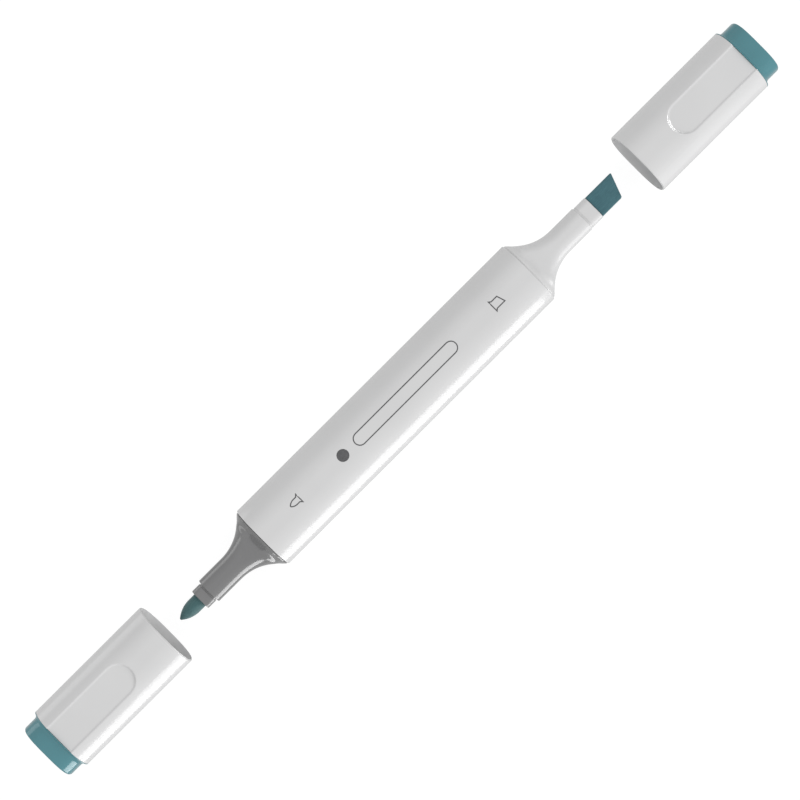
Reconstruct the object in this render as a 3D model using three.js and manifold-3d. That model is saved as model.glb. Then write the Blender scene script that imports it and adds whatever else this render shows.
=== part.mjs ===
// A felt tip marker with two nibs, lying on its back with both caps pulled off along its axis.
// Millimetres. +X runs along the marker towards the chisel nib and +Z up through the printed front face.
// The origin is the middle of the flat face that the barrel rests on.
import * as THREE from "three";
import { mergeVertices } from "three/addons/utils/BufferGeometryUtils.js";
import Module from "manifold-3d";

const wasm = await Module();
wasm.setup();

// ---- Driving dimensions ----

const GAP = 0.1; // assembly clearance between two separate pieces

const WIDTH = 15.6; // across the flats of the barrel and of both caps
const CORNER = 5.8; // corner radius of that outer section
const BOW = THREE.MathUtils.degToRad(14); // how far each face turns before its corner starts
const SMALL_BOW = THREE.MathUtils.degToRad(3); // the same on the neck, the collars and what fits them
const FLAT_SHARE = 0.15; // the flat middle of a face, as a share of the section's width

const BARREL_LENGTH = 79.1;
const BARREL_WALL = 1.3;
const RIB_WIDTH = 0.8;

// Distances along a nose are measured outwards from the end of the barrel.
const LIP_INSET = 0.35; // the nose's lip stands this far inside the barrel's outline
const LIP_EDGE = 0.35; // end of the lip's straight edge
const LIP_END = 0.9; // end of its taper, where the shoulder starts
const LIP_TAPER = 0.5;
const SPIGOT_LENGTH = 6.0; // what goes into the barrel
const NECK_START = 9.5;
const NECK_END = 16.1;
const NECK_WIDTH = 6.05;
const NECK_CORNER = 2.5;
const FINE_COLLAR = { end: 18.65, width: 4.95, height: 4.95, corner: 1.2 };
const CHISEL_COLLAR = { end: 19.5, width: 5.7, height: 4.95, corner: 1.4 };

const BULLET = { diameter: 3.4, straight: 20.6, tip: 24.7, tipDiameter: 0.3 };
const CHISEL = { width: 5.45, thickness: 3.3, shortSide: 25.2, longSide: 27.2, edge: 0.3 };
const TAIL = { width: 4.2, thickness: 2.6 }; // the chisel nib's narrower part, inside the nose
const NIB_DEPTH = 9.0; // how far a nib's tail reaches inside the barrel

const RESERVOIR_DIAMETER = 10.0;
const RESERVOIR_END = 1.0; // from the barrel's end to the reservoir's
const FILM_THICKNESS = 0.2;
const SOCKET_DEPTH = NIB_DEPTH - RESERVOIR_END + GAP;

// Distances along a cap are measured outwards from its mouth.
const CAP_LENGTH = 30.65;
const CAP_WALL = 1.2;
const MOUTH_WALL = 0.45; // thinner, where the mouth slips over the nose's shoulder
const MOUTH_DEPTH = 2.0;
const EDGE = 0.25; // chamfer on the cap's and the barrel's edges
const RECESS = { width: 7.05, length: 21.1, depth: 0.55 };
const LINER = { start: 9.5, wall: 0.95, tipRoom: 27.2, end: 28.4, flange: 1.0 };
const PLUG = { flange: 0.15, cove: 1.3, width: 13.8, corner: 4.0, end: 4.25, edge: 0.35, wall: 1.5 };

// How far each cap's mouth stands off the end of the barrel.
const CHISEL_CAP_OFF = 32.7;
const FINE_CAP_OFF = 29.1;

// ---- Derived sizes ----

const HALF = WIDTH / 2;
const BARREL_END = BARREL_LENGTH / 2;
const BORE_HALF = HALF - BARREL_WALL;
const SPIGOT_HALF = BORE_HALF - GAP;
const LIP_HALF = HALF - LIP_INSET;
const SHOULDER_HALF = LIP_HALF - LIP_TAPER;
const NECK_HALF = NECK_WIDTH / 2;
const FILM_INNER = RESERVOIR_DIAMETER / 2 + GAP;
const FILM_OUTER = FILM_INNER + FILM_THICKNESS;
const RIB_TIP = FILM_OUTER + GAP; // the ribs and the spigots hold the wrapped reservoir here
const CAP_BORE_HALF = HALF - CAP_WALL;
const LINER_BORE_HALF = NECK_HALF + GAP;

// ---- Materials ----

const material = (color, roughness) =>
  new THREE.MeshStandardMaterial({ color, roughness, metalness: 0, flatShading: true });
const whitePlastic = () => material(0xeeeef0, 0.35);
const greyPlastic = () => material(0x808080, 0.4);
const tealPlastic = () => material(0x588a90, 0.4);
const naturalPlastic = () => material(0xd8d9da, 0.5);
const chiselFelt = () => material(0x48696f, 0.9);
const bulletFelt = () => material(0x4d6f70, 0.9);
const reservoirFibre = () => material(0x3f6a72, 0.95);
const filmPlastic = () => material(0xcfd4d6, 0.3);

// ---- Geometry helpers ----

// A solid from a closed three.js geometry.
function solid(geometry) {
  const bare = geometry.clone();
  bare.deleteAttribute("normal");
  bare.deleteAttribute("uv");
  const merged = mergeVertices(bare, 1e-4);
  return new wasm.Manifold(
    new wasm.Mesh({
      numProp: 3,
      vertProperties: merged.attributes.position.array,
      triVerts: new Uint32Array(merged.index.array),
    }),
  );
}

function joined(first, ...others) {
  return others.reduce((whole, other) => whole.add(solid(other)), solid(first));
}

function cut(whole, ...tools) {
  return tools.reduce((rest, tool) => rest.subtract(solid(tool)), whole);
}

function geometryOf(manifold) {
  const mesh = manifold.getMesh();
  const geometry = new THREE.BufferGeometry();
  geometry.setAttribute("position", new THREE.BufferAttribute(new Float32Array(mesh.vertProperties), 3));
  geometry.setIndex(new THREE.BufferAttribute(new Uint32Array(mesh.triVerts), 1));
  return geometry;
}

// A rectangular cross-section in the YZ plane, anticlockwise seen from +X.
// Each face has a flat middle and bows in towards its corners, which are arcs tangent to it.
function section(halfY, halfZ, corner, bow = BOW) {
  const cornerSteps = 5;
  const half = Math.min(halfY, halfZ);
  const reach = half * (1 - FLAT_SHARE);
  const squeeze = Math.cos(bow) - Math.sin(bow);
  const faceRadius = (reach - corner * squeeze) / (1 - squeeze);
  const cornerCentre = (faceRadius - corner) * Math.sin(bow);
  const shift = new THREE.Vector2(halfY - reach, halfZ - reach);
  const quarter = [new THREE.Vector2(reach, 0)];
  for (let step = 0; step <= cornerSteps; step++) {
    const angle = bow + ((Math.PI / 2 - 2 * bow) * step) / cornerSteps;
    quarter.push(
      new THREE.Vector2(
        cornerCentre + corner * Math.cos(angle),
        cornerCentre + corner * Math.sin(angle),
      ),
    );
  }
  quarter.push(new THREE.Vector2(0, reach));
  quarter.forEach((point) => point.add(shift));
  const mirrored = (y, z) => quarter.map((point) => new THREE.Vector2(point.x * y, point.y * z));
  return [
    ...quarter,
    ...mirrored(-1, 1).reverse(),
    ...mirrored(-1, -1),
    ...mirrored(1, -1).reverse(),
  ];
}

function squareSection(half, corner, bow = BOW) {
  return section(half, half, corner, bow);
}

// A closed solid along X through stations, each an x and a cross-section, with flat ends.
function loft(stations) {
  const count = stations[0][1].length;
  const positions = stations.flatMap(([x, points]) => points.flatMap((point) => [x, point.x, point.y]));
  const index = [];
  for (let station = 0; station + 1 < stations.length; station++) {
    for (let side = 0; side < count; side++) {
      const a = station * count + side;
      const b = station * count + ((side + 1) % count);
      index.push(a, b, b + count, a, b + count, a + count);
    }
  }
  const firstCentre = stations.length * count;
  const lastCentre = firstCentre + 1;
  positions.push(stations[0][0], 0, 0, stations.at(-1)[0], 0, 0);
  for (let side = 0; side < count; side++) {
    const next = (side + 1) % count;
    const lastRing = firstCentre - count;
    index.push(firstCentre, next, side, lastCentre, lastRing + side, lastRing + next);
  }
  const geometry = new THREE.BufferGeometry();
  geometry.setAttribute("position", new THREE.Float32BufferAttribute(positions, 3));
  geometry.setIndex(index);
  return geometry;
}

// A solid of revolution about X from a profile of [x, radius] points.
function turned(profile, segments = 40) {
  const points = profile.map(([x, radius]) => new THREE.Vector2(radius, x));
  return new THREE.LatheGeometry(points, segments).rotateZ(-Math.PI / 2);
}

function rod(start, end, radius) {
  return turned([
    [start, 0],
    [start, radius],
    [end, radius],
    [end, 0],
  ]);
}

// A box from one x to another, centred on the axis.
function bar(start, end, width, height) {
  return new THREE.BoxGeometry(end - start, width, height).translate((start + end) / 2, 0, 0);
}

function piece(name, geometry, finish) {
  const mesh = new THREE.Mesh(geometry, finish);
  mesh.name = name;
  return mesh;
}

// ---- Barrel, reservoir and its wrap ----

function barrel() {
  const outer = loft([
    [-BARREL_END, squareSection(HALF - EDGE, CORNER - EDGE)],
    [-BARREL_END + EDGE, squareSection(HALF, CORNER)],
    [BARREL_END - EDGE, squareSection(HALF, CORNER)],
    [BARREL_END, squareSection(HALF - EDGE, CORNER - EDGE)],
  ]);
  const bore = squareSection(BORE_HALF, CORNER - BARREL_WALL);
  const hollow = cut(
    solid(outer),
    loft([
      [-BARREL_END - 1, bore],
      [BARREL_END + 1, bore],
    ]),
  );
  // Four long ribs centre the reservoir between the two spigots.
  const ribLength = BARREL_LENGTH - 2 * (SPIGOT_LENGTH + GAP);
  const intoWall = BARREL_WALL / 2;
  const ribHeight = BORE_HALF - RIB_TIP + intoWall;
  let whole = hollow;
  for (let quarter = 0; quarter < 4; quarter++) {
    const rib = new THREE.BoxGeometry(ribLength, RIB_WIDTH, ribHeight)
      .translate(0, 0, RIB_TIP + ribHeight / 2)
      .rotateX((quarter * Math.PI) / 2);
    whole = whole.add(solid(rib));
  }
  return piece("barrel", geometryOf(whole), whitePlastic());
}

// The ink-soaked fibre rod, with a socket for each nib's tail.
function reservoirCore() {
  const end = BARREL_END - RESERVOIR_END;
  const body = solid(rod(-end, end, RESERVOIR_DIAMETER / 2));
  const chiselSocket = bar(
    end - SOCKET_DEPTH,
    end + 1,
    TAIL.width + 2 * GAP,
    TAIL.thickness + 2 * GAP,
  );
  const bulletSocket = rod(-end - 1, -end + SOCKET_DEPTH, BULLET.diameter / 2 + GAP);
  return piece("reservoir_core", geometryOf(cut(body, chiselSocket, bulletSocket)), reservoirFibre());
}

function reservoirFilm() {
  const end = BARREL_END - RESERVOIR_END - 0.5;
  const tube = turned([
    [-end, FILM_INNER],
    [-end, FILM_OUTER],
    [end, FILM_OUTER],
    [end, FILM_INNER],
    [-end, FILM_INNER],
  ]);
  return piece("reservoir_film", geometryOf(solid(tube)), filmPlastic());
}

// ---- Noses: spigot, lip, concave shoulder, neck and collar, with x = 0 at the barrel's end ----

// The shoulder's corners tighten from the lip's radius to the neck's just below the lip.
function noseSection(half) {
  const blendFrom = 0.8 * SHOULDER_HALF;
  const share = THREE.MathUtils.smoothstep(half, blendFrom, SHOULDER_HALF);
  const corner = THREE.MathUtils.lerp(NECK_CORNER, CORNER - LIP_INSET - LIP_TAPER, share);
  const bow = THREE.MathUtils.lerp(SMALL_BOW, BOW, share);
  return squareSection(half, corner, bow);
}

// One circular arc, tangent to the neck, from the lip down to the neck.
function shoulderStations() {
  const steps = 9;
  const drop = SHOULDER_HALF - NECK_HALF;
  const run = NECK_START - LIP_END;
  const radius = (run * run + drop * drop) / (2 * drop);
  const sweep = Math.asin(run / radius);
  const stations = [];
  for (let step = 0; step <= steps; step++) {
    const angle = sweep * (1 - step / steps);
    stations.push([
      NECK_START - radius * Math.sin(angle),
      noseSection(NECK_HALF + radius * (1 - Math.cos(angle))),
    ]);
  }
  return stations;
}

function nose(name, collar, nibHole, finish) {
  const spigotCorner = CORNER - BARREL_WALL - GAP;
  const collarSection = section(collar.width / 2, collar.height / 2, collar.corner, SMALL_BOW);
  const outer = loft([
    [-SPIGOT_LENGTH, squareSection(SPIGOT_HALF - EDGE, spigotCorner - EDGE)],
    [-SPIGOT_LENGTH + 2 * EDGE, squareSection(SPIGOT_HALF, spigotCorner)],
    [GAP, squareSection(SPIGOT_HALF, spigotCorner)],
    [GAP, squareSection(LIP_HALF, CORNER - LIP_INSET)],
    [LIP_EDGE, squareSection(LIP_HALF, CORNER - LIP_INSET)],
    ...shoulderStations(),
    [NECK_END, noseSection(NECK_HALF)],
    [NECK_END, collarSection],
    [collar.end, collarSection],
  ]);
  // The reservoir's end sits against a ledge, and a cone leads the nib on into its hole.
  const ledge = -RESERVOIR_END + GAP;
  const coneEnd = 5.5;
  const cavity = turned([
    [-SPIGOT_LENGTH - 1, 0],
    [-SPIGOT_LENGTH - 1, RIB_TIP],
    [ledge, RIB_TIP],
    [ledge, RIB_TIP - 0.5],
    [coneEnd, NECK_HALF - 0.5],
    [coneEnd, 0],
  ]);
  return piece(name, geometryOf(cut(solid(outer), cavity, nibHole)), finish);
}

function chiselNose() {
  const hole = bar(0, CHISEL_COLLAR.end + 1, TAIL.width + 2 * GAP, TAIL.thickness + 2 * GAP);
  return nose("chisel_nose", CHISEL_COLLAR, hole, whitePlastic());
}

function fineNose() {
  const hole = rod(0, FINE_COLLAR.end + 1, BULLET.diameter / 2 + GAP);
  return nose("fine_nose", FINE_COLLAR, hole, greyPlastic());
}

// ---- Nibs ----

// A thick blade whose writing edge slants, on a narrower tail that runs back into the reservoir.
function chiselNib() {
  const back = CHISEL_COLLAR.end + GAP;
  const halfWidth = CHISEL.width / 2;
  const blade = new THREE.ExtrudeGeometry(
    new THREE.Shape([
      new THREE.Vector2(back, -halfWidth),
      new THREE.Vector2(CHISEL.shortSide, -halfWidth),
      new THREE.Vector2(CHISEL.longSide, halfWidth),
      new THREE.Vector2(back, halfWidth),
    ]),
    {
      depth: CHISEL.thickness - 2 * CHISEL.edge,
      bevelThickness: CHISEL.edge,
      bevelSize: CHISEL.edge,
      bevelOffset: -CHISEL.edge,
      bevelSegments: 2,
    },
  ).translate(0, 0, -CHISEL.thickness / 2 + CHISEL.edge);
  const tail = bar(-NIB_DEPTH, back + 1, TAIL.width, TAIL.thickness);
  return piece("chisel_nib", geometryOf(joined(blade, tail)), chiselFelt());
}

// A round rod that ends in an ogive: one arc tangent to the rod.
function bulletNib() {
  const steps = 7;
  const radius = BULLET.diameter / 2;
  const tipRadius = BULLET.tipDiameter / 2;
  const run = BULLET.tip - BULLET.straight;
  const drop = radius - tipRadius;
  const arcRadius = (run * run + drop * drop) / (2 * drop);
  const sweep = Math.asin(run / arcRadius);
  const profile = [
    [-NIB_DEPTH, 0],
    [-NIB_DEPTH, radius],
  ];
  for (let step = 0; step <= steps; step++) {
    const angle = (sweep * step) / steps;
    profile.push([
      BULLET.straight + arcRadius * Math.sin(angle),
      radius - arcRadius * (1 - Math.cos(angle)),
    ]);
  }
  profile.push([BULLET.tip, 0]);
  return piece("bullet_nib", geometryOf(solid(turned(profile, 24))), bulletFelt());
}

// ---- Caps, with x = 0 at the mouth ----

// A shallow U-shaped recess, open at the cap's outer end, in the face towards +Z.
function recessCutter() {
  const radius = RECESS.width / 2;
  const arcCentre = CAP_LENGTH - RECESS.length + radius;
  const outline = new THREE.Shape();
  outline.moveTo(CAP_LENGTH + 1, -radius);
  outline.lineTo(CAP_LENGTH + 1, radius);
  outline.lineTo(arcCentre, radius);
  outline.absarc(arcCentre, 0, radius, Math.PI / 2, (3 * Math.PI) / 2);
  return new THREE.ExtrudeGeometry(outline, {
    depth: RECESS.depth + 1,
    bevelEnabled: false,
    curveSegments: 16,
  }).translate(0, 0, HALF - RECESS.depth);
}

function capShell(name) {
  const outer = loft([
    [0, squareSection(HALF - EDGE, CORNER - EDGE)],
    [EDGE, squareSection(HALF, CORNER)],
    [CAP_LENGTH - EDGE, squareSection(HALF, CORNER)],
    [CAP_LENGTH, squareSection(HALF - EDGE, CORNER - EDGE)],
  ]);
  const mouth = squareSection(HALF - MOUTH_WALL, CORNER - MOUTH_WALL);
  const inner = squareSection(CAP_BORE_HALF, CORNER - CAP_WALL);
  const bore = loft([
    [-1, mouth],
    [MOUTH_DEPTH, mouth],
    [MOUTH_DEPTH + CAP_WALL - MOUTH_WALL, inner],
    [CAP_LENGTH + 1, inner],
  ]);
  const front = recessCutter();
  const back = recessCutter().rotateX(Math.PI);
  return piece(name, geometryOf(cut(solid(outer), bore, front, back)), whitePlastic());
}

// The inner cup that seals round the neck, with a flange that the plug holds against the shell's bore.
function capLiner(name) {
  const corner = NECK_CORNER + GAP;
  const tube = squareSection(LINER_BORE_HALF + LINER.wall, corner + LINER.wall, SMALL_BOW);
  const flange = squareSection(CAP_BORE_HALF - GAP, CORNER - CAP_WALL - GAP);
  const outer = loft([
    [LINER.start, tube],
    [LINER.end - LINER.flange, tube],
    [LINER.end - LINER.flange, flange],
    [LINER.end, flange],
  ]);
  const bore = squareSection(LINER_BORE_HALF, corner, SMALL_BOW);
  const room = loft([
    [LINER.start - 1, bore],
    [LINER.tipRoom, bore],
  ]);
  return piece(name, geometryOf(cut(solid(outer), room)), naturalPlastic());
}

// The coloured plug: a spigot inside the shell, a flange on its end, then a cove up to the square head.
function capPlug(name) {
  const coveSteps = 4;
  const headHalf = PLUG.width / 2;
  const spigot = squareSection(CAP_BORE_HALF - GAP, CORNER - CAP_WALL - GAP);
  const flangeStart = CAP_LENGTH + GAP;
  const coveStart = CAP_LENGTH + PLUG.flange;
  const headEnd = CAP_LENGTH + PLUG.end;
  const cove = [];
  for (let step = 1; step <= coveSteps; step++) {
    const angle = (Math.PI / 2) * (step / coveSteps);
    const share = 1 - Math.sin(angle);
    cove.push([
      coveStart + PLUG.cove * (1 - Math.cos(angle)),
      squareSection(
        THREE.MathUtils.lerp(headHalf, HALF, share),
        THREE.MathUtils.lerp(PLUG.corner, CORNER, share),
      ),
    ]);
  }
  const edge = [];
  for (let step = 0; step <= 2; step++) {
    const angle = (Math.PI / 4) * step;
    edge.push([
      headEnd - PLUG.edge * (1 - Math.sin(angle)),
      squareSection(
        headHalf - PLUG.edge * (1 - Math.cos(angle)),
        PLUG.corner - PLUG.edge * (1 - Math.cos(angle)),
      ),
    ]);
  }
  const outer = loft([
    [LINER.end + GAP, spigot],
    [flangeStart, spigot],
    [flangeStart, squareSection(HALF, CORNER)],
    [coveStart, squareSection(HALF, CORNER)],
    ...cove,
    ...edge,
  ]);
  const cupSection = squareSection(headHalf - PLUG.wall, PLUG.corner - PLUG.wall);
  const cup = loft([
    [LINER.end - 1, cupSection],
    [headEnd - PLUG.wall, cupSection],
  ]);
  return piece(name, geometryOf(cut(solid(outer), cup)), tealPlastic());
}

function cap(prefix) {
  const group = new THREE.Group();
  group.add(capShell(`${prefix}_cap_shell`), capLiner(`${prefix}_cap_liner`), capPlug(`${prefix}_cap_plug`));
  return group;
}

// ---- Assembly ----

// One end of the marker: the nose and nib at the barrel's end, and the cap pulled off beyond them.
function end(nosePiece, nibPiece, capGroup, capOff) {
  const group = new THREE.Group();
  group.add(nosePiece, nibPiece, capGroup);
  capGroup.position.x = capOff;
  return group;
}

const chiselEnd = end(chiselNose(), chiselNib(), cap("chisel"), CHISEL_CAP_OFF);
chiselEnd.position.x = BARREL_END;

const fineEnd = end(fineNose(), bulletNib(), cap("fine"), FINE_CAP_OFF);
fineEnd.position.x = -BARREL_END;
fineEnd.rotation.z = Math.PI;

const marker = new THREE.Group();
marker.add(barrel(), reservoirCore(), reservoirFilm(), chiselEnd, fineEnd);
marker.position.z = HALF;

export default marker;
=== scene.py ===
# A felt tip marker with two nibs, its caps pulled off along its axis.
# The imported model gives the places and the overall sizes. This script makes the fine surfaces, the
# materials, the printing and the studio. Shapes are written in millimetres, along +X with the axis at
# y = z = 0, and each piece is then set at its end of the marker in metres.
import math

import bmesh
import bpy
from mathutils import Matrix, Vector


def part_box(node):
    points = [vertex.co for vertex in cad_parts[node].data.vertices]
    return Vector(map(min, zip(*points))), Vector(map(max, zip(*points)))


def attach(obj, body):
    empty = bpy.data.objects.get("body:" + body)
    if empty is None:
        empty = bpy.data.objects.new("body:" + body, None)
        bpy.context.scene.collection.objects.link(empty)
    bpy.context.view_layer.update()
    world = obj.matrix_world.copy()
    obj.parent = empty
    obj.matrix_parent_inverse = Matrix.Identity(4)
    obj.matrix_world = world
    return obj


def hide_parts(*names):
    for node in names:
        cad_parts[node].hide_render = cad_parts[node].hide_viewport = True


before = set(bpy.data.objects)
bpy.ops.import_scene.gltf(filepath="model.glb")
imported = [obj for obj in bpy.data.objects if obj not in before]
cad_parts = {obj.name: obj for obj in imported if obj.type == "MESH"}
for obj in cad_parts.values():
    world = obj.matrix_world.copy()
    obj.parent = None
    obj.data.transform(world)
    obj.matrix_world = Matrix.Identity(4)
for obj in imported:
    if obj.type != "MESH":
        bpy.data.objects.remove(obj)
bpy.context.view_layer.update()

MM = 0.001
MERGE = 1e-6  # metres: vertices closer than this are one

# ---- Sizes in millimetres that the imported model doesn't state as a box ----

CORNER = 5.8  # corner radius of the barrel's and caps' section
BOW = math.radians(14)  # how far a face turns before its corner starts
SMALL_BOW = math.radians(3)  # the same on the neck and the collars
FLAT_SHARE = 0.15  # the flat middle of a face, as a share of the section's width

BARREL_WALL = 1.3
EDGE = 0.15  # rounding on the barrel's and the caps' edges
FINE_EDGE = 0.12  # rounding on small mouldings
GAP = 0.1  # clearance round anything that is pushed into something else
JOINT = 0.02  # the fine line left where two mouldings meet

LIP_INSET = 0.35  # how far a nose's lip lies inside the barrel's surface
LIP_EDGE = 0.35  # where the lip's straight side ends
LIP_END = 0.9  # where the shoulder's arc starts
LIP_TAPER = 0.5  # how much narrower the nose is there, on each side
SPIGOT_LENGTH = 6.0
SPIGOT_WALL = 1.0
NECK_START = 9.5
NECK_END = 16.1
NECK_HALF = 3.025
NECK_CORNER = 2.5
COLLAR_HALF_HEIGHT = 2.475
FINE_COLLAR = {"end": 18.65, "half_width": 2.475, "corner": 1.2, "groove": 0.2}
CHISEL_COLLAR = {"end": 19.5, "half_width": 2.85, "corner": 1.4, "groove": 0.07}
GROOVE_WIDTH = 0.5  # the groove between a neck and its collar, which is "groove" deep

BULLET_STRAIGHT = 20.6  # where the bullet nib's ogive starts
BULLET_SUPPORT = 1.5  # the rod's last ring is this far before that, which keeps its shading even
BULLET_TIP_RADIUS = 0.15
TAIL_HALF = (2.1, 1.3)  # the chisel nib's tail, across and through
BLADE_SLANT = 2.0  # how much further the chisel nib's long side reaches
NIB_EDGE = 0.3

CAP_WALL = 1.2
MOUTH_WALL = 0.45
MOUTH_DEPTH = 2.0
RECESS_HALF = 3.525
RECESS_LENGTH = 21.1
RECESS_DEPTH = 0.55
RECESS_SLOPE = 0.3  # half the width of the recess's rounded wall
FACE_HALF = 5.0  # the front face is meshed round the recess out to here, then the corners go on
LINER_WALL = 0.95
LINER_FLANGE = 1.0
LINER_TIP_ROOM = 17.7  # depth of the liner's bore
PLUG_FLANGE = 0.15
PLUG_COVE = 1.3
PLUG_HEAD_HALF = 6.9
PLUG_CORNER = 4.0
PLUG_EDGE = 0.35
PLUG_WALL = 1.5

PRINT_ROOM = 0.02  # the barrel's surface is drawn in by this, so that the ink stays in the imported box
PRINT_THICKNESS = 0.015
PRINT_LINE = 0.24
MITRE_LIMIT = 0.4  # keeps the ink's sharpest corners short
LABEL_SPAN = (-11.6, 18.0)
LABEL_HALF_HEIGHT = 1.4
LABEL_Y = 0.3
DOT_X = -15.2
DOT_RADIUS = 1.35
# A sign's base bar lies at "inset" from the barrel's end, and its nib points outwards.
CHISEL_SIGN = {"inset": 10.7, "y": 0.24, "bar_half": 1.3, "root_half": 0.93}
CHISEL_SIGN_SIDES = (2.7, 2.1)  # from the base bar to the ends of its long and short sides
BULLET_SIGN = {"inset": 11.65, "y": 0.45, "bar_half": 1.1, "root_half": 0.65}
BULLET_SIGN_STRAIGHT = 1.2  # from the base bar to where its ogive starts
BULLET_SIGN_LENGTH = 2.6
SIGN_FLARE = 0.45  # from a sign's base bar to its nib's root


# ---- Places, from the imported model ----

def low(node):
    return Vector(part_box(node)[0]) / MM


def high(node):
    return Vector(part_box(node)[1]) / MM


HALF = (high("barrel").z - low("barrel").z) / 2
AXIS_Z = (high("barrel").z + low("barrel").z) / 2
BARREL_END = high("barrel").x
BARREL_HALF = HALF - PRINT_ROOM
CAP_LENGTH = high("chisel_cap_shell").x - low("chisel_cap_shell").x
PLUG_END = high("chisel_cap_plug").x - high("chisel_cap_shell").x


def placement(origin_x, turned_round):
    """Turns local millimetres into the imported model's metres."""
    turn = Matrix.Rotation(math.pi if turned_round else 0.0, 4, "Z")
    return Matrix.Scale(MM, 4) @ Matrix.Translation((origin_x, 0, AXIS_Z)) @ turn


def reach_along(place, node):
    """A node's lowest and highest x in a placement's own millimetres."""
    return sorted((place.inverted() @ Vector(corner)).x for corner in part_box(node))


MIDDLE = placement(0.0, False)
CHISEL_END = placement(BARREL_END, False)
FINE_END = placement(-BARREL_END, True)
CHISEL_CAP = placement(low("chisel_cap_shell").x, False)
FINE_CAP = placement(high("fine_cap_shell").x, True)


# ---- Sections ----

def blend(a, b, share):
    return a + (b - a) * share


def smooth(value, start, end):
    share = min(max((value - start) / (end - start), 0.0), 1.0)
    return share * share * (3 - 2 * share)


def section_arcs(half, corner, bow):
    """(half the flat, the face's radius, the corner's centre) of a square section."""
    reach = half * (1 - FLAT_SHARE)
    squeeze = math.cos(bow) - math.sin(bow)
    face_radius = (reach - corner * squeeze) / (1 - squeeze)
    flat = half - reach
    return flat, face_radius, flat + (face_radius - corner) * math.sin(bow)


def outline_point(angle, half, corner, bow=BOW):
    """The point in the first quadrant whose outward normal leans by angle from +Z towards +Y."""
    if angle > math.pi / 4:
        z, y = outline_point(math.pi / 2 - angle, half, corner, bow)
        return y, z
    flat, face_radius, centre = section_arcs(half, corner, bow)
    if angle <= bow:
        return flat + face_radius * math.sin(angle), half - face_radius * (1 - math.cos(angle))
    return centre + corner * math.sin(angle), centre + corner * math.cos(angle)


def height_at(y, half, corner, bow=BOW):
    """Height of a square section's upper side above the axis."""
    flat, face_radius, centre = section_arcs(half, corner, bow)
    run = abs(y) - flat
    if run <= 0:
        return half
    if run <= face_radius * math.sin(bow):
        return half - face_radius + math.sqrt(face_radius**2 - run**2)
    return centre + math.sqrt(corner**2 - (abs(y) - centre) ** 2)


def mirror_quarter(quarter):
    """A whole outline, anticlockwise from +Y, out of its first quadrant."""
    upper = quarter + [(-y, z) for y, z in reversed(quarter)]
    return upper + [(y, -z) for y, z in reversed(upper)]


def section(half_y, half_z, corner, bow=BOW, face_steps=4, corner_steps=14):
    """A rounded rectangle of (y, z) points, anticlockwise seen from +X."""
    half = min(half_y, half_z)
    angles = [bow * step / face_steps for step in range(face_steps)]
    angles += [bow + (math.pi / 2 - 2 * bow) * step / corner_steps for step in range(corner_steps + 1)]
    angles += [math.pi / 2 - bow + bow * step / face_steps for step in range(1, face_steps + 1)]
    quarter = []
    for angle in angles:
        z, y = outline_point(angle, half, corner, bow)
        quarter.append((y + half_y - half, z + half_z - half))
    return mirror_quarter(quarter)


def square(half, corner, bow=BOW):
    return section(half, half, corner, bow)


def circle(radius, count):
    """Points spread as evenly as a section's, starting near +Y."""
    angles = [math.tau * (step + 0.5) / count for step in range(count)]
    return [(radius * math.cos(angle), radius * math.sin(angle)) for angle in angles]


def inset(outline, distance):
    """The outline moved inwards along its own normals."""
    moved = []
    count = len(outline)
    for index, (y, z) in enumerate(outline):
        before = outline[index - 1]
        after = outline[(index + 1) % count]
        along = Vector((after[0] - before[0], after[1] - before[1])).normalized()
        moved.append((y - along.y * distance, z + along.x * distance))
    return moved


def between(first, second, share):
    """The outline that lies a share of the way from one to another with as many points."""
    return [
        (blend(y0, y1, share), blend(z0, z1, share))
        for (y0, z0), (y1, z1) in zip(first, second)
    ]


# ---- Mesh helpers ----

def ring(x, outline):
    """An outline placed at x, which may be a number or a function of y."""
    if callable(x):
        return [(x(y), y, z) for y, z in outline]
    return [(x, y, z) for y, z in outline]


def skin(bm, rings, around=True):
    """Quads between neighbouring rings of equal length. Returns the rings' vertices."""
    rows = [[bm.verts.new(point) for point in points] for points in rings]
    count = len(rows[0])
    for row, following in zip(rows, rows[1:]):
        for side in range(count if around else count - 1):
            other = (side + 1) % count
            bm.faces.new((row[side], row[other], following[other], following[side]))
    return rows


def lofted(rings, ends=True):
    """A solid through rings in order. Without ends the last ring joins the first."""
    bm = bmesh.new()
    rows = skin(bm, rings if ends else rings + [rings[0]])
    if ends:
        bm.faces.new(list(reversed(rows[0])))
        bm.faces.new(rows[-1])
    return bm


def rounded_edge(x, inwards, outline, radius, steps=4):
    """Rings round an outer edge whose end face is at x.

    inwards is +1 where the solid lies towards +X of that face, and -1 where it lies towards -X.
    """
    rings = []
    for step in range(steps + 1):
        angle = math.pi / 2 * step / steps
        shrink = radius * (1 - math.sin(angle))
        rings.append(ring(x + inwards * radius * (1 - math.cos(angle)), inset(outline, shrink)))
    return rings if inwards > 0 else rings[::-1]


def make_piece(name, bm, place, finish, body, replaced=None, crease=32.0):
    """Turns a bmesh in local millimetres into a finished piece that rides on a body.

    Edges that turn by more than crease, in degrees, stay sharp.
    """
    bm.transform(place)
    bmesh.ops.remove_doubles(bm, verts=bm.verts, dist=MERGE)
    bmesh.ops.recalc_face_normals(bm, faces=bm.faces)
    for face in bm.faces:
        face.smooth = True
    mesh = bpy.data.meshes.new(name)
    bm.to_mesh(mesh)
    bm.free()
    mesh.set_sharp_from_angle(angle=math.radians(crease))
    mesh.materials.append(finish)
    piece = bpy.data.objects.new(name, mesh)
    bpy.context.collection.objects.link(piece)
    weighted = piece.modifiers.new("even_shading", "WEIGHTED_NORMAL")
    weighted.keep_sharp = True
    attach(piece, body)
    if replaced:
        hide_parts(replaced)
    return piece


# ---- Materials ----

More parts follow.
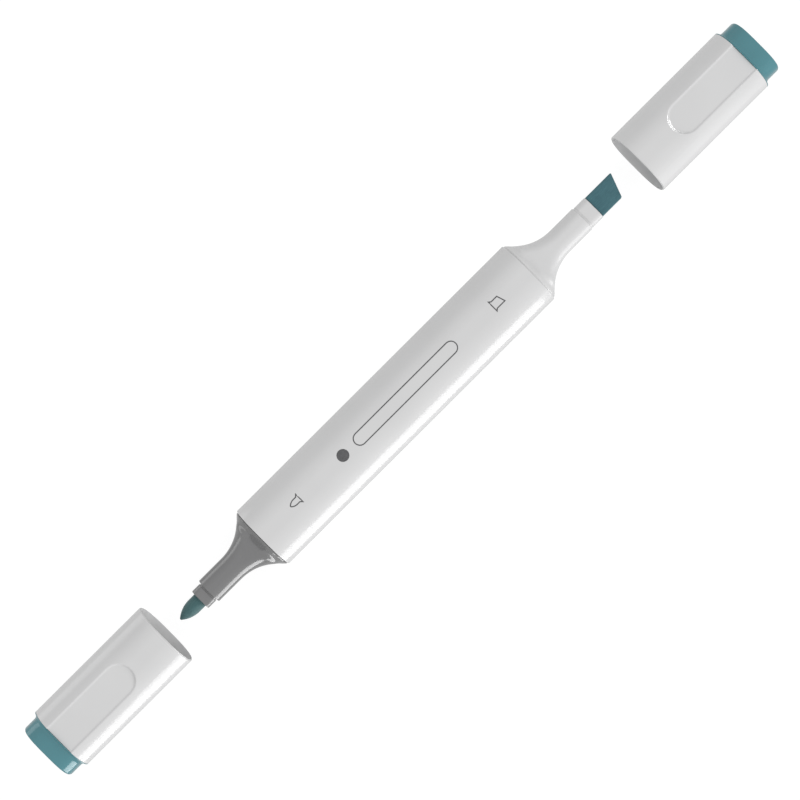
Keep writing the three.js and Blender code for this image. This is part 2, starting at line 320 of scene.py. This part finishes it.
class Shader:
    """A Principled material with short calls for the nodes used here."""

    def __init__(self, name, **settings):
        self.material = bpy.data.materials.new(name)
        self.material.use_nodes = True
        self.tree = self.material.node_tree
        self.surface = self.tree.nodes["Principled BSDF"]
        for socket, value in settings.items():
            self.surface.inputs[socket.replace("_", " ")].default_value = value
        self.place = self.tree.nodes.new("ShaderNodeTexCoord").outputs["Object"]

    def link(self, source, target):
        self.tree.links.new(source, target)

    def stretched(self, scale):
        """The object's own coordinates in metres, times scale on each axis."""
        mapping = self.tree.nodes.new("ShaderNodeMapping")
        mapping.inputs["Scale"].default_value = scale
        self.link(self.place, mapping.inputs["Vector"])
        return mapping.outputs["Vector"]

    def noise(self, scale, detail=3.0, roughness=0.55):
        """Noise with about one blob for each 1/scale metres; scale may differ by axis."""
        per_axis = scale if isinstance(scale, tuple) else (scale, scale, scale)
        node = self.tree.nodes.new("ShaderNodeTexNoise")
        node.inputs["Scale"].default_value = 1.0
        node.inputs["Detail"].default_value = detail
        node.inputs["Roughness"].default_value = roughness
        self.link(self.stretched(per_axis), node.inputs["Vector"])
        return node.outputs["Fac"]

    def ramp(self, source, stops):
        node = self.tree.nodes.new("ShaderNodeValToRGB")
        ramp = node.color_ramp
        while len(ramp.elements) < len(stops):
            ramp.elements.new(0.5)
        for element, (position, colour) in zip(ramp.elements, stops):
            element.position = position
            element.color = (*colour, 1.0)
        self.link(source, node.inputs["Fac"])
        return node.outputs["Color"]

    def span(self, source, lowest, highest):
        node = self.tree.nodes.new("ShaderNodeMapRange")
        node.inputs["To Min"].default_value = lowest
        node.inputs["To Max"].default_value = highest
        self.link(source, node.inputs["Value"])
        return node.outputs["Result"]

    def bump(self, heights):
        """heights is a list of (noise, height in metres), laid over each other."""
        normal = None
        for source, height in heights:
            node = self.tree.nodes.new("ShaderNodeBump")
            node.inputs["Distance"].default_value = height
            self.link(source, node.inputs["Height"])
            if normal:
                self.link(normal, node.inputs["Normal"])
            normal = node.outputs["Normal"]
        self.link(normal, self.surface.inputs["Normal"])


def shade(colour, factor):
    return tuple(channel * factor for channel in colour)


def moulded_plastic(name, colour, roughness, grain, polish):
    """Injection-moulded plastic: faint clouding, an uneven gloss and a very fine surface grain.

    grain is the height of the finest grain in metres, and polish the weight of the clear coat.
    """
    shader = Shader(name, IOR=1.47, Coat_Weight=polish, Coat_Roughness=0.06)
    clouds = shader.noise(90.0, detail=4.0)
    tint = shader.ramp(clouds, [(0.3, shade(colour, 0.97)), (0.7, shade(colour, 1.0))])
    shader.link(tint, shader.surface.inputs["Base Color"])
    smears = shader.noise((160.0, 700.0, 700.0), detail=5.0)
    uneven = shader.span(smears, roughness - 0.05, roughness + 0.07)
    shader.link(uneven, shader.surface.inputs["Roughness"])
    shader.bump([(shader.noise(9000.0, detail=2.0), grain), (shader.noise(260.0), 4 * grain)])
    return shader.material


def pressed_felt(name, dark, light, fibre_scale):
    """Ink-soaked felt: long fibres along X, darker and lighter, with a fuzzy sheen."""
    shader = Shader(name, Roughness=0.92, Sheen_Weight=0.25, Sheen_Roughness=0.5)
    across = fibre_scale
    fibres = shader.noise((across / 9, across, across), detail=6.0, roughness=0.7)
    blotches = shader.noise(420.0, detail=3.0)
    mix = shader.tree.nodes.new("ShaderNodeMix")
    mix.inputs["Factor"].default_value = 0.35
    shader.link(fibres, mix.inputs["A"])
    shader.link(blotches, mix.inputs["B"])
    tint = shader.ramp(mix.outputs["Result"], [(0.36, dark), (0.64, light)])
    shader.link(tint, shader.surface.inputs["Base Color"])
    pits = shader.noise(2600.0, detail=4.0)
    shader.bump([(fibres, 0.00006), (pits, 0.00003)])
    return shader.material


def printing_ink(name, colour):
    """Pad-printed ink: nearly flat, a little thin in places."""
    shader = Shader(name, Roughness=0.5)
    cover = shader.noise(3500.0, detail=4.0)
    tint = shader.ramp(cover, [(0.3, shade(colour, 1.5)), (0.6, colour)])
    shader.link(tint, shader.surface.inputs["Base Color"])
    shader.bump([(cover, 0.000002)])
    return shader.material


def clear_film(name):
    """Thin film wrapped round the reservoir, with lengthwise creases."""
    shader = Shader(name, Roughness=0.2, Alpha=0.6)
    creases = shader.noise((40.0, 900.0, 900.0), detail=4.0)
    tint = shader.ramp(creases, [(0.35, (0.55, 0.60, 0.61)), (0.65, (0.68, 0.72, 0.73))])
    shader.link(tint, shader.surface.inputs["Base Color"])
    shader.bump([(creases, 0.00003)])
    return shader.material


white_plastic = moulded_plastic(
    "white_plastic", colour=(0.62, 0.62, 0.622), roughness=0.20, grain=1.5e-7, polish=0.0
)
grey_plastic = moulded_plastic(
    "grey_plastic", colour=(0.176, 0.176, 0.178), roughness=0.16, grain=3.0e-7, polish=0.5
)
teal_plastic = moulded_plastic(
    "teal_plastic", colour=(0.068, 0.219, 0.252), roughness=0.18, grain=3.0e-7, polish=0.2
)
liner_plastic = moulded_plastic(
    "liner_plastic", colour=(0.66, 0.67, 0.68), roughness=0.42, grain=1.0e-6, polish=0.0
)
chisel_felt = pressed_felt(
    "chisel_felt", dark=(0.040, 0.111, 0.134), light=(0.061, 0.160, 0.185), fibre_scale=5200.0
)
bullet_felt = pressed_felt(
    "bullet_felt", dark=(0.036, 0.098, 0.105), light=(0.064, 0.146, 0.149), fibre_scale=5600.0
)
reservoir_fibre = pressed_felt(
    "reservoir_fibre", dark=(0.035, 0.110, 0.135), light=(0.070, 0.180, 0.210), fibre_scale=3200.0
)
print_ink = printing_ink("print_ink", colour=(0.075, 0.075, 0.078))
film = clear_film("wrap_film")


# ---- Barrel ----

def barrel():
    """A square tube, open at both ends."""
    outline = square(BARREL_HALF, CORNER)
    bore = inset(outline, BARREL_WALL)
    rings = rounded_edge(-BARREL_END, 1, outline, EDGE)
    rings += [ring(-BARREL_END + 2 * EDGE, outline), ring(BARREL_END - 2 * EDGE, outline)]
    rings += rounded_edge(BARREL_END, -1, outline, EDGE)
    rings += [ring(BARREL_END, bore), ring(-BARREL_END, bore)]
    return lofted(rings, ends=False)


# ---- Noses ----

LIP_HALF = HALF - LIP_INSET
SHOULDER_HALF = LIP_HALF - LIP_TAPER


def nose_section(half):
    """The shoulder's corners tighten from the lip's radius to the neck's just below the lip."""
    share = smooth(half, 0.8 * SHOULDER_HALF, SHOULDER_HALF)
    corner = blend(NECK_CORNER, CORNER - LIP_INSET - LIP_TAPER, share)
    return square(half, corner, blend(SMALL_BOW, BOW, share))


def shoulder_rings(steps=30):
    """One arc, tangent to the neck."""
    drop = SHOULDER_HALF - NECK_HALF
    run = NECK_START - LIP_END
    radius = (run * run + drop * drop) / (2 * drop)
    sweep = math.asin(run / radius)
    rings = []
    for step in range(steps + 1):
        angle = sweep * (1 - step / steps)
        half = NECK_HALF + radius * (1 - math.cos(angle))
        rings.append(ring(NECK_START - radius * math.sin(angle), nose_section(half)))
    return rings


def nose(collar, hole, joint):
    """hole is the outline that the nib passes through, and joint the gap left at the barrel's end."""
    spigot = inset(square(HALF, CORNER), BARREL_WALL + GAP)
    lip = square(LIP_HALF, CORNER - LIP_INSET)
    collar_outline = section(collar["half_width"], COLLAR_HALF_HEIGHT, collar["corner"], SMALL_BOW)
    neck = nose_section(NECK_HALF)
    rings = rounded_edge(-SPIGOT_LENGTH, 1, spigot, EDGE)
    rings.append(ring(joint, spigot))
    rings += rounded_edge(joint, 1, lip, FINE_EDGE / 2)
    rings.append(ring(LIP_EDGE, lip))
    rings += shoulder_rings()
    rings += rounded_edge(NECK_END, -1, neck, FINE_EDGE)
    groove = inset(collar_outline, collar["groove"])
    rings.append(ring(NECK_END, groove))
    rings.append(ring(NECK_END + GROOVE_WIDTH, groove))
    rings.append(ring(NECK_END + GROOVE_WIDTH, collar_outline))
    rings += rounded_edge(collar["end"], -1, collar_outline, FINE_EDGE)
    rings.append(ring(collar["end"], hole))
    rings.append(ring(NECK_START, hole))
    rings.append(ring(-SPIGOT_LENGTH, inset(spigot, SPIGOT_WALL)))
    return lofted(rings, ends=False)


# ---- Nibs ----

def chisel_nib(blade_steps=8, edge_steps=4):
    """A thick blade with a slanted writing edge, on a narrower tail."""
    back = CHISEL_COLLAR["end"] + GAP
    half_width = high("chisel_nib").y
    half_thickness = high("chisel_nib").z - AXIS_Z
    long_side = high("chisel_nib").x - BARREL_END
    blade = section(half_width, half_thickness, NIB_EDGE, SMALL_BOW)
    tail = section(*TAIL_HALF, NIB_EDGE, SMALL_BOW)

    def slanted(share, shy=0.0):
        """x across the blade, at a share of its length and shy of there."""
        def x_at(y):
            edge = long_side - BLADE_SLANT * (half_width - y) / (2 * half_width)
            return back + share * (edge - back) - shy
        return x_at

    rings = [ring(low("chisel_nib").x - BARREL_END, tail), ring(back, tail)]
    rings += rounded_edge(back, 1, blade, NIB_EDGE / 2)
    rings += [ring(slanted(step / blade_steps), blade) for step in range(2, blade_steps)]
    for step in range(edge_steps + 1):
        angle = math.pi / 2 * step / edge_steps
        outline = inset(blade, NIB_EDGE * (1 - math.cos(angle)))
        rings.append(ring(slanted(1.0, NIB_EDGE * (1 - math.sin(angle))), outline))
    return lofted(rings)


def bullet_nib(sides=72, steps=24, tip_steps=4):
    """A round rod that ends in an ogive with a slightly worn, rounded tip."""
    radius = (high("bullet_nib").y - low("bullet_nib").y) / 2
    tip = -low("bullet_nib").x - BARREL_END
    tail_end = -high("bullet_nib").x - BARREL_END
    run = tip - BULLET_STRAIGHT
    drop = radius - BULLET_TIP_RADIUS
    arc = (run * run + drop * drop) / (2 * drop)
    sweep = math.asin(run / arc)
    rod = circle(radius, sides)
    rings = [ring(tail_end, rod), ring(BULLET_STRAIGHT - BULLET_SUPPORT, rod)]
    for step in range(steps):
        angle = sweep * step / steps
        outline = circle(radius - arc * (1 - math.cos(angle)), sides)
        rings.append(ring(BULLET_STRAIGHT + arc * math.sin(angle), outline))
    last_x = rings[-1][0][0]
    last_radius = math.hypot(rings[-1][0][1], rings[-1][0][2])
    for step in range(1, tip_steps + 1):
        angle = math.pi / 2 * step / (tip_steps + 0.5)  # half a step over leaves the tip a small flat
        x = last_x + (tip - last_x) * math.sin(angle)
        rings.append(ring(x, circle(last_radius * math.cos(angle), sides)))
    return lofted(rings)


# ---- Caps ----

ARC_CENTRE = CAP_LENGTH - RECESS_LENGTH + RECESS_HALF  # centre of the recess's round end
ARC_STEPS = 36  # this and the next two say how finely the caps' faces are meshed
FACE_ROWS = 10
SIDE_STEPS = 8


def cap_height(y):
    return height_at(y, HALF, CORNER)


def recessed_height(y, beyond):
    """Height of the front face at y. beyond is how far outside the recess's outline that is."""
    bottom = HALF - RECESS_DEPTH
    return blend(bottom, cap_height(y), smooth(beyond, -RECESS_SLOPE, RECESS_SLOPE))


def reaches(wall_steps=10):
    """Distances from the recess's centre line, closest together across its wall."""
    wall_start = RECESS_HALF - RECESS_SLOPE
    wall_end = RECESS_HALF + RECESS_SLOPE
    inside = [share * wall_start for share in (0.0, 0.35, 0.7, 0.9)]
    wall = [wall_start + 2 * RECESS_SLOPE * step / wall_steps for step in range(wall_steps + 1)]
    outside = [blend(wall_end, FACE_HALF, share) for share in (0.25, 0.6, 1.0)]
    return inside + wall + outside


def recess_crossing():
    """The front face's (y, z) points across the recess's straight part, from -Y to +Y."""
    across = [-reach for reach in reversed(reaches())] + reaches()[1:]
    return [(y, recessed_height(y, abs(y) - RECESS_HALF)) for y in across]


def arc_angles():
    """Angles round the recess's end, from -Y to +Y, where zero points to the mouth."""
    return [-math.pi / 2 + math.pi * step / ARC_STEPS for step in range(ARC_STEPS + 1)]


def straight_stations():
    """x of the rows along the straight part of the recess."""
    last = CAP_LENGTH - EDGE
    return [blend(ARC_CENTRE, last, step / FACE_ROWS) for step in range(FACE_ROWS + 1)]


def front_face(bm):
    """The cap's front face from its mouth edge to its outer edge, with the recess sunk into it."""
    # From the mouth to the round end's outermost arc.
    rows = []
    for angle in arc_angles():
        y = FACE_HALF * math.sin(angle)
        arc_x = ARC_CENTRE - FACE_HALF * math.cos(angle)
        along = [blend(EDGE, arc_x, row / FACE_ROWS) for row in range(FACE_ROWS + 1)]
        rows.append([(x, y, cap_height(y)) for x in along])
    skin(bm, rows, around=False)
    # Round the recess's end, as arcs about its centre.
    rows = []
    for angle in arc_angles():
        row = []
        for reach in reaches():
            x = ARC_CENTRE - reach * math.cos(angle)
            y = reach * math.sin(angle)
            row.append((x, y, recessed_height(y, reach - RECESS_HALF)))
        rows.append(row)
    skin(bm, rows, around=False)
    # Along its straight sides.
    skin(bm, [[(x, y, z) for y, z in recess_crossing()] for x in straight_stations()], around=False)


def side_outline():
    """(y, z) from the front face's edge, round the +Y side, to the back face's edge."""
    _, _, centre = section_arcs(HALF, CORNER, BOW)
    first = math.asin((FACE_HALF - centre) / CORNER)
    upper = [
        outline_point(blend(first, math.pi / 2, step / SIDE_STEPS), HALF, CORNER)
        for step in range(SIDE_STEPS + 1)
    ]
    return upper + [(y, -z) for y, z in reversed(upper)]


def side_strip(bm):
    """The cap's plain +Y side, between the front and the back face."""
    stations = [blend(EDGE, ARC_CENTRE, row / FACE_ROWS) for row in range(FACE_ROWS + 1)]
    stations += straight_stations()[1:]
    skin(bm, [[(x, y, z) for y, z in side_outline()] for x in stations], around=False)


def end_outline(front_points):
    """A closed outline out of the front face's (y, z) points, from -Y to +Y, and the sides."""
    side = side_outline()
    right = side[1:-1]
    back = [(y, -z) for y, z in reversed(front_points)]
    left = [(-y, z) for y, z in reversed(right)]
    clockwise = front_points + right + back + left
    return clockwise[::-1]


def cap_shell():
    """A square tube with a recess in its front face and another in its back face."""
    bm = bmesh.new()
    front_face(bm)
    side_strip(bm)
    half_turn = Matrix.Rotation(math.pi, 4, "X")
    copy = bmesh.ops.duplicate(bm, geom=bm.verts[:] + bm.edges[:] + bm.faces[:])
    twins = [item for item in copy["geom"] if isinstance(item, bmesh.types.BMVert)]
    bmesh.ops.transform(bm, matrix=half_turn, verts=twins)
    # The mouth: outer rounding, rim, bore with its thinner mouth, and on to the outer end.
    across = [FACE_HALF * math.sin(angle) for angle in arc_angles()]
    mouth = end_outline([(y, cap_height(y)) for y in across])
    rings = rounded_edge(0.0, 1, mouth, EDGE)[::-1]
    rings += rounded_edge(0.0, 1, inset(mouth, MOUTH_WALL - FINE_EDGE), -FINE_EDGE)
    rings.append(ring(MOUTH_DEPTH, inset(mouth, MOUTH_WALL)))
    rings.append(ring(MOUTH_DEPTH + CAP_WALL - MOUTH_WALL, inset(mouth, CAP_WALL)))
    rings.append(ring(CAP_LENGTH, inset(mouth, CAP_WALL)))
    skin(bm, rings)
    # The outer end: its rounding follows the recess's notch, and a flat face closes it onto the bore.
    skin(bm, rounded_edge(CAP_LENGTH, -1, end_outline(recess_crossing()), EDGE / 2))
    bmesh.ops.remove_doubles(bm, verts=bm.verts, dist=MERGE / MM)
    bmesh.ops.bridge_loops(bm, edges=[edge for edge in bm.edges if edge.is_boundary])
    return bm


def cap_liner(start, end):
    """start and end are its distances from the cap's mouth."""
    bore = square(NECK_HALF + GAP, NECK_CORNER + GAP, SMALL_BOW)
    tube = inset(bore, -LINER_WALL)
    flange = inset(square(HALF, CORNER), CAP_WALL + GAP)
    rings = [ring(start + LINER_TIP_ROOM, bore), ring(start + EDGE, bore)]
    rings += [ring(start, inset(bore, -EDGE))]
    rings += rounded_edge(start, 1, tube, EDGE)
    rings.append(ring(end - LINER_FLANGE, tube))
    rings += rounded_edge(end - LINER_FLANGE, 1, flange, FINE_EDGE)
    rings += rounded_edge(end, -1, flange, FINE_EDGE)
    return lofted(rings)


def cap_plug(start, cove_steps=12):
    """start is its spigot's distance from the cap's mouth."""
    outer = square(HALF, CORNER)
    head = square(PLUG_HEAD_HALF, PLUG_CORNER)
    cup = inset(head, PLUG_WALL)
    spigot = inset(outer, CAP_WALL + GAP)
    flange_start = CAP_LENGTH + JOINT
    cove_start = CAP_LENGTH + PLUG_FLANGE
    head_end = CAP_LENGTH + PLUG_END
    rings = [ring(head_end - PLUG_WALL, cup), ring(start, cup)]
    rings += rounded_edge(start, 1, spigot, FINE_EDGE)
    rings.append(ring(flange_start, spigot))
    rings += rounded_edge(flange_start, 1, outer, FINE_EDGE / 2)
    for step in range(cove_steps + 1):
        angle = math.pi / 2 * step / cove_steps
        x = cove_start + PLUG_COVE * (1 - math.cos(angle))
        rings.append(ring(x, between(outer, head, math.sin(angle))))
    rings += rounded_edge(head_end, -1, head, PLUG_EDGE, steps=8)
    return lofted(rings)


# ---- Printing on the barrel's front face ----

def ribbon(bm, points):
    """A closed line of ink with mitred corners, laid on the barrel's front face."""
    count = len(points)
    left = []
    right = []
    for index, point in enumerate(points):
        here = Vector(point)
        before = (here - Vector(points[index - 1])).normalized()
        after = (Vector(points[(index + 1) % count]) - here).normalized()
        across = (before.orthogonal() + after.orthogonal()).normalized()
        reach = PRINT_LINE / 2 / max(across.dot(after.orthogonal()), MITRE_LIMIT)
        left.append(here + across * reach)
        right.append(here - across * reach)
    profile = [
        (left, -PRINT_THICKNESS),
        (left, PRINT_THICKNESS),
        (right, PRINT_THICKNESS),
        (right, -PRINT_THICKNESS),
    ]
    rings = [
        [(x, y, height_at(y, BARREL_HALF, CORNER) + lift) for x, y in loop]
        for loop, lift in profile
    ]
    skin(bm, rings + [rings[0]])


def arc_points(centre, radius, start, sweep, steps):
    """Points along an arc, in degrees anticlockwise from +X."""
    return [
        (
            centre[0] + radius * math.cos(math.radians(start + sweep * step / steps)),
            centre[1] + radius * math.sin(math.radians(start + sweep * step / steps)),
        )
        for step in range(steps + 1)
    ]


def nib_symbol(sign, facing, top):
    """A nib's outline on a wider base bar. top lists the points from one root to the other."""
    base_x = BARREL_END - sign["inset"]
    bar_half = sign["bar_half"]
    root_half = sign["root_half"]
    outline = [(0.0, -bar_half), (SIGN_FLARE, -root_half)]
    outline += top
    outline += [(SIGN_FLARE, root_half), (0.0, bar_half)]
    bm = bmesh.new()
    ribbon(bm, [(facing * (base_x + x), sign["y"] + y) for x, y in outline])
    return bm


def chisel_symbol():
    long_side, short_side = CHISEL_SIGN_SIDES
    half = CHISEL_SIGN["root_half"]
    return nib_symbol(CHISEL_SIGN, 1, [(long_side, -half), (short_side, half)])


def bullet_symbol(drawn=0.93, steps=8):
    """drawn is the share of each side's arc that is drawn, which leaves the tip blunt."""
    half = BULLET_SIGN["root_half"]
    run = BULLET_SIGN_LENGTH - BULLET_SIGN_STRAIGHT
    arc = (run * run + half * half) / (2 * half)
    sweep = math.degrees(math.asin(run / arc))
    lower = arc_points((BULLET_SIGN_STRAIGHT, arc - half), arc, -90, drawn * sweep, steps)
    upper = [(x, -y) for x, y in reversed(lower)]
    return nib_symbol(BULLET_SIGN, -1, lower + upper)


def label_field(steps=14):
    """An empty rounded field where a maker would print a name."""
    start, end = LABEL_SPAN
    points = arc_points((end - LABEL_HALF_HEIGHT, LABEL_Y), LABEL_HALF_HEIGHT, -90, 180, steps)
    points += arc_points((start + LABEL_HALF_HEIGHT, LABEL_Y), LABEL_HALF_HEIGHT, 90, 180, steps)
    bm = bmesh.new()
    ribbon(bm, points)
    return bm


def label_dot(sides=40):
    """A solid dot in front of the empty field."""
    bm = bmesh.new()
    rings = []
    for share, lift in ((1.0, -1), (1.0, 1), (0.6, 1), (0.2, 1)):
        points = arc_points((DOT_X, LABEL_Y), share * DOT_RADIUS, 0, 360, sides)[:-1]
        rings.append([
            (x, y, height_at(y, BARREL_HALF, CORNER) + lift * PRINT_THICKNESS)
            for x, y in points
        ])
    rows = skin(bm, rings)
    bm.faces.new(rows[-1])
    bm.faces.new(list(reversed(rows[0])))
    return bm


# ---- Assembly ----

make_piece("barrel_shell", barrel(), MIDDLE, white_plastic, "marker", "barrel")

chisel_hole = section(TAIL_HALF[0] + GAP, TAIL_HALF[1] + GAP, NIB_EDGE, SMALL_BOW)
bullet_hole = circle((high("bullet_nib").y - low("bullet_nib").y) / 2 + GAP, len(chisel_hole))
make_piece("chisel_nose_moulding", nose(CHISEL_COLLAR, chisel_hole, JOINT), CHISEL_END,
           white_plastic, "marker", "chisel_nose")
make_piece("fine_nose_moulding", nose(FINE_COLLAR, bullet_hole, GAP), FINE_END,
           grey_plastic, "marker", "fine_nose")
make_piece("chisel_nib_felt", chisel_nib(), CHISEL_END, chisel_felt, "marker", "chisel_nib")
make_piece("bullet_nib_felt", bullet_nib(), FINE_END, bullet_felt, "marker", "bullet_nib")

cap_bodies = {}
for end, place in (("chisel", CHISEL_CAP), ("fine", FINE_CAP)):
    body = f"{end}_cap"
    liner_start, liner_end = reach_along(place, f"{end}_cap_liner")
    plug_start, _ = reach_along(place, f"{end}_cap_plug")
    cap_bodies[end] = make_piece(f"{end}_cap_body", cap_shell(), place,
                                 white_plastic, body, f"{end}_cap_shell")
    make_piece(f"{end}_cap_seal", cap_liner(liner_start, liner_end), place,
               liner_plastic, body, f"{end}_cap_liner")
    make_piece(f"{end}_cap_end", cap_plug(plug_start), place,
               teal_plastic, body, f"{end}_cap_plug")

for symbol in (chisel_symbol, bullet_symbol, label_field, label_dot):
    make_piece(symbol.__name__, symbol(), MIDDLE, print_ink, "marker")

for node, finish in (("reservoir_core", reservoir_fibre), ("reservoir_film", film)):
    for material_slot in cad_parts[node].material_slots:
        material_slot.link = "OBJECT"
        material_slot.material = finish


# ---- Studio, in metres ----

FLOOR_REACH = 3.0  # from the floor's middle to its edges
WORLD_LIGHT = 0.85
STRIP_Y = -0.030  # the strip lamps stand on the side that faces the key lamp
STRIP_Z = 0.011
STRIP_HEIGHT = 0.021
CAP_TOP = (AXIS_Z + HALF) * MM

CAMERA_LENS = 122.35  # millimetres, like the sensor
CAMERA_SENSOR = 36.0
CAMERA_OVER = (0.0014, 0.00009)  # the point that it looks down on
CAMERA_HEIGHT = 0.575  # above the marker's axis
CAMERA_TURN = math.radians(-44.91)


def floor(name, albedo, glow, seen_as):
    """seen_as tells whether the camera and the soft light see it, or only reflections."""
    bm = bmesh.new()
    bmesh.ops.create_grid(bm, x_segments=2, y_segments=2, size=FLOOR_REACH)
    mesh = bpy.data.meshes.new(name)
    bm.to_mesh(mesh)
    bm.free()
    shader = Shader(name, Roughness=0.8, Emission_Strength=glow)
    shader.surface.inputs["Base Color"].default_value = (albedo, albedo, albedo, 1.0)
    shader.surface.inputs["Emission Color"].default_value = (1.0, 1.0, 1.0, 1.0)
    shader.surface.inputs["Specular IOR Level"].default_value = 0.0
    mesh.materials.append(shader.material)
    table = bpy.data.objects.new(name, mesh)
    table.visible_camera = seen_as == "light"
    table.visible_diffuse = seen_as == "light"
    table.visible_glossy = seen_as == "reflection"
    bpy.context.collection.objects.link(table)


def softbox(name, place, target, size, watts, seen_as, only=None):
    """seen_as tells whether it lights the object or is mirrored in it.

    only lists the pieces that it reaches, where that isn't all of them.
    """
    light = bpy.data.lights.new(name, "AREA")
    light.shape = "RECTANGLE"
    light.size, light.size_y = size
    light.energy = watts
    lamp = bpy.data.objects.new(name, light)
    lamp.location = place
    lamp.rotation_euler = (Vector(target) - Vector(place)).to_track_quat("-Z", "Y").to_euler()
    lamp.visible_camera = False
    lamp.visible_diffuse = seen_as == "light"
    lamp.visible_glossy = seen_as == "reflection"
    if only:
        reached = bpy.data.collections.new(name)
        for piece in only:
            reached.objects.link(piece)
        lamp.light_linking.receiver_collection = reached
    bpy.context.collection.objects.link(lamp)


def strip_lamp(name, x, length, watts, y=STRIP_Y, z=STRIP_Z, height=STRIP_HEIGHT):
    """A low lamp beside the object, which is mirrored in its side."""
    softbox(name, place=(x, y, z), target=(x, 0.0, z), size=(length, height), watts=watts,
            seen_as="reflection")


def studio(chisel_cap):
    """The world and the lamps. chisel_cap is the one piece that the last lamp reaches."""
    world = bpy.data.worlds.new("studio")
    world.use_nodes = True
    background = world.node_tree.nodes["Background"]
    background.inputs["Color"].default_value = (1.0, 1.0, 1.0, 1.0)
    background.inputs["Strength"].default_value = WORLD_LIGHT
    bpy.context.scene.world = world
    bpy.context.scene.view_settings.view_transform = "Standard"
    softbox("key", place=(0.15, -0.89, 0.56), target=(0.0, 0.0, 0.0), size=(0.9, 0.5), watts=4.8,
            seen_as="light")
    # The bright band from the fine cap along the barrel, then its fainter parts on chisel nose and cap.
    strip_lamp("strip", x=-0.036, length=0.150, watts=0.052)
    strip_lamp("nose_strip", x=0.0535, length=0.025, watts=0.0042)
    strip_lamp("dim_strip", x=0.087, length=0.042, watts=0.0021)
    # The thin line on the other side of the fine nose and its cap.
    strip_lamp("far_strip", x=-0.080, length=0.080, watts=0.005, y=0.030, z=0.012, height=0.015)
    # The bright line round the end of the chisel cap's recess.
    softbox("end", place=(0.158, -0.012, 0.052), target=(0.087, 0.0, CAP_TOP), size=(0.05, 0.036),
            watts=0.27, seen_as="reflection", only=[chisel_cap])


def camera():
    """Straight down on the marker, turned so that it lies on the picture's diagonal."""
    lens = bpy.data.cameras.new("camera")
    lens.lens = CAMERA_LENS
    lens.sensor_width = CAMERA_SENSOR
    viewer = bpy.data.objects.new("camera", lens)
    viewer.location = (*CAMERA_OVER, AXIS_Z * MM + CAMERA_HEIGHT)
    viewer.rotation_euler = (0.0, 0.0, CAMERA_TURN)
    bpy.context.collection.objects.link(viewer)
    bpy.context.scene.camera = viewer


floor("light_table", albedo=0.25, glow=0.85, seen_as="light")
floor("table_reflection", albedo=0.0, glow=0.6, seen_as="reflection")
studio(cap_bodies["chisel"])
camera()
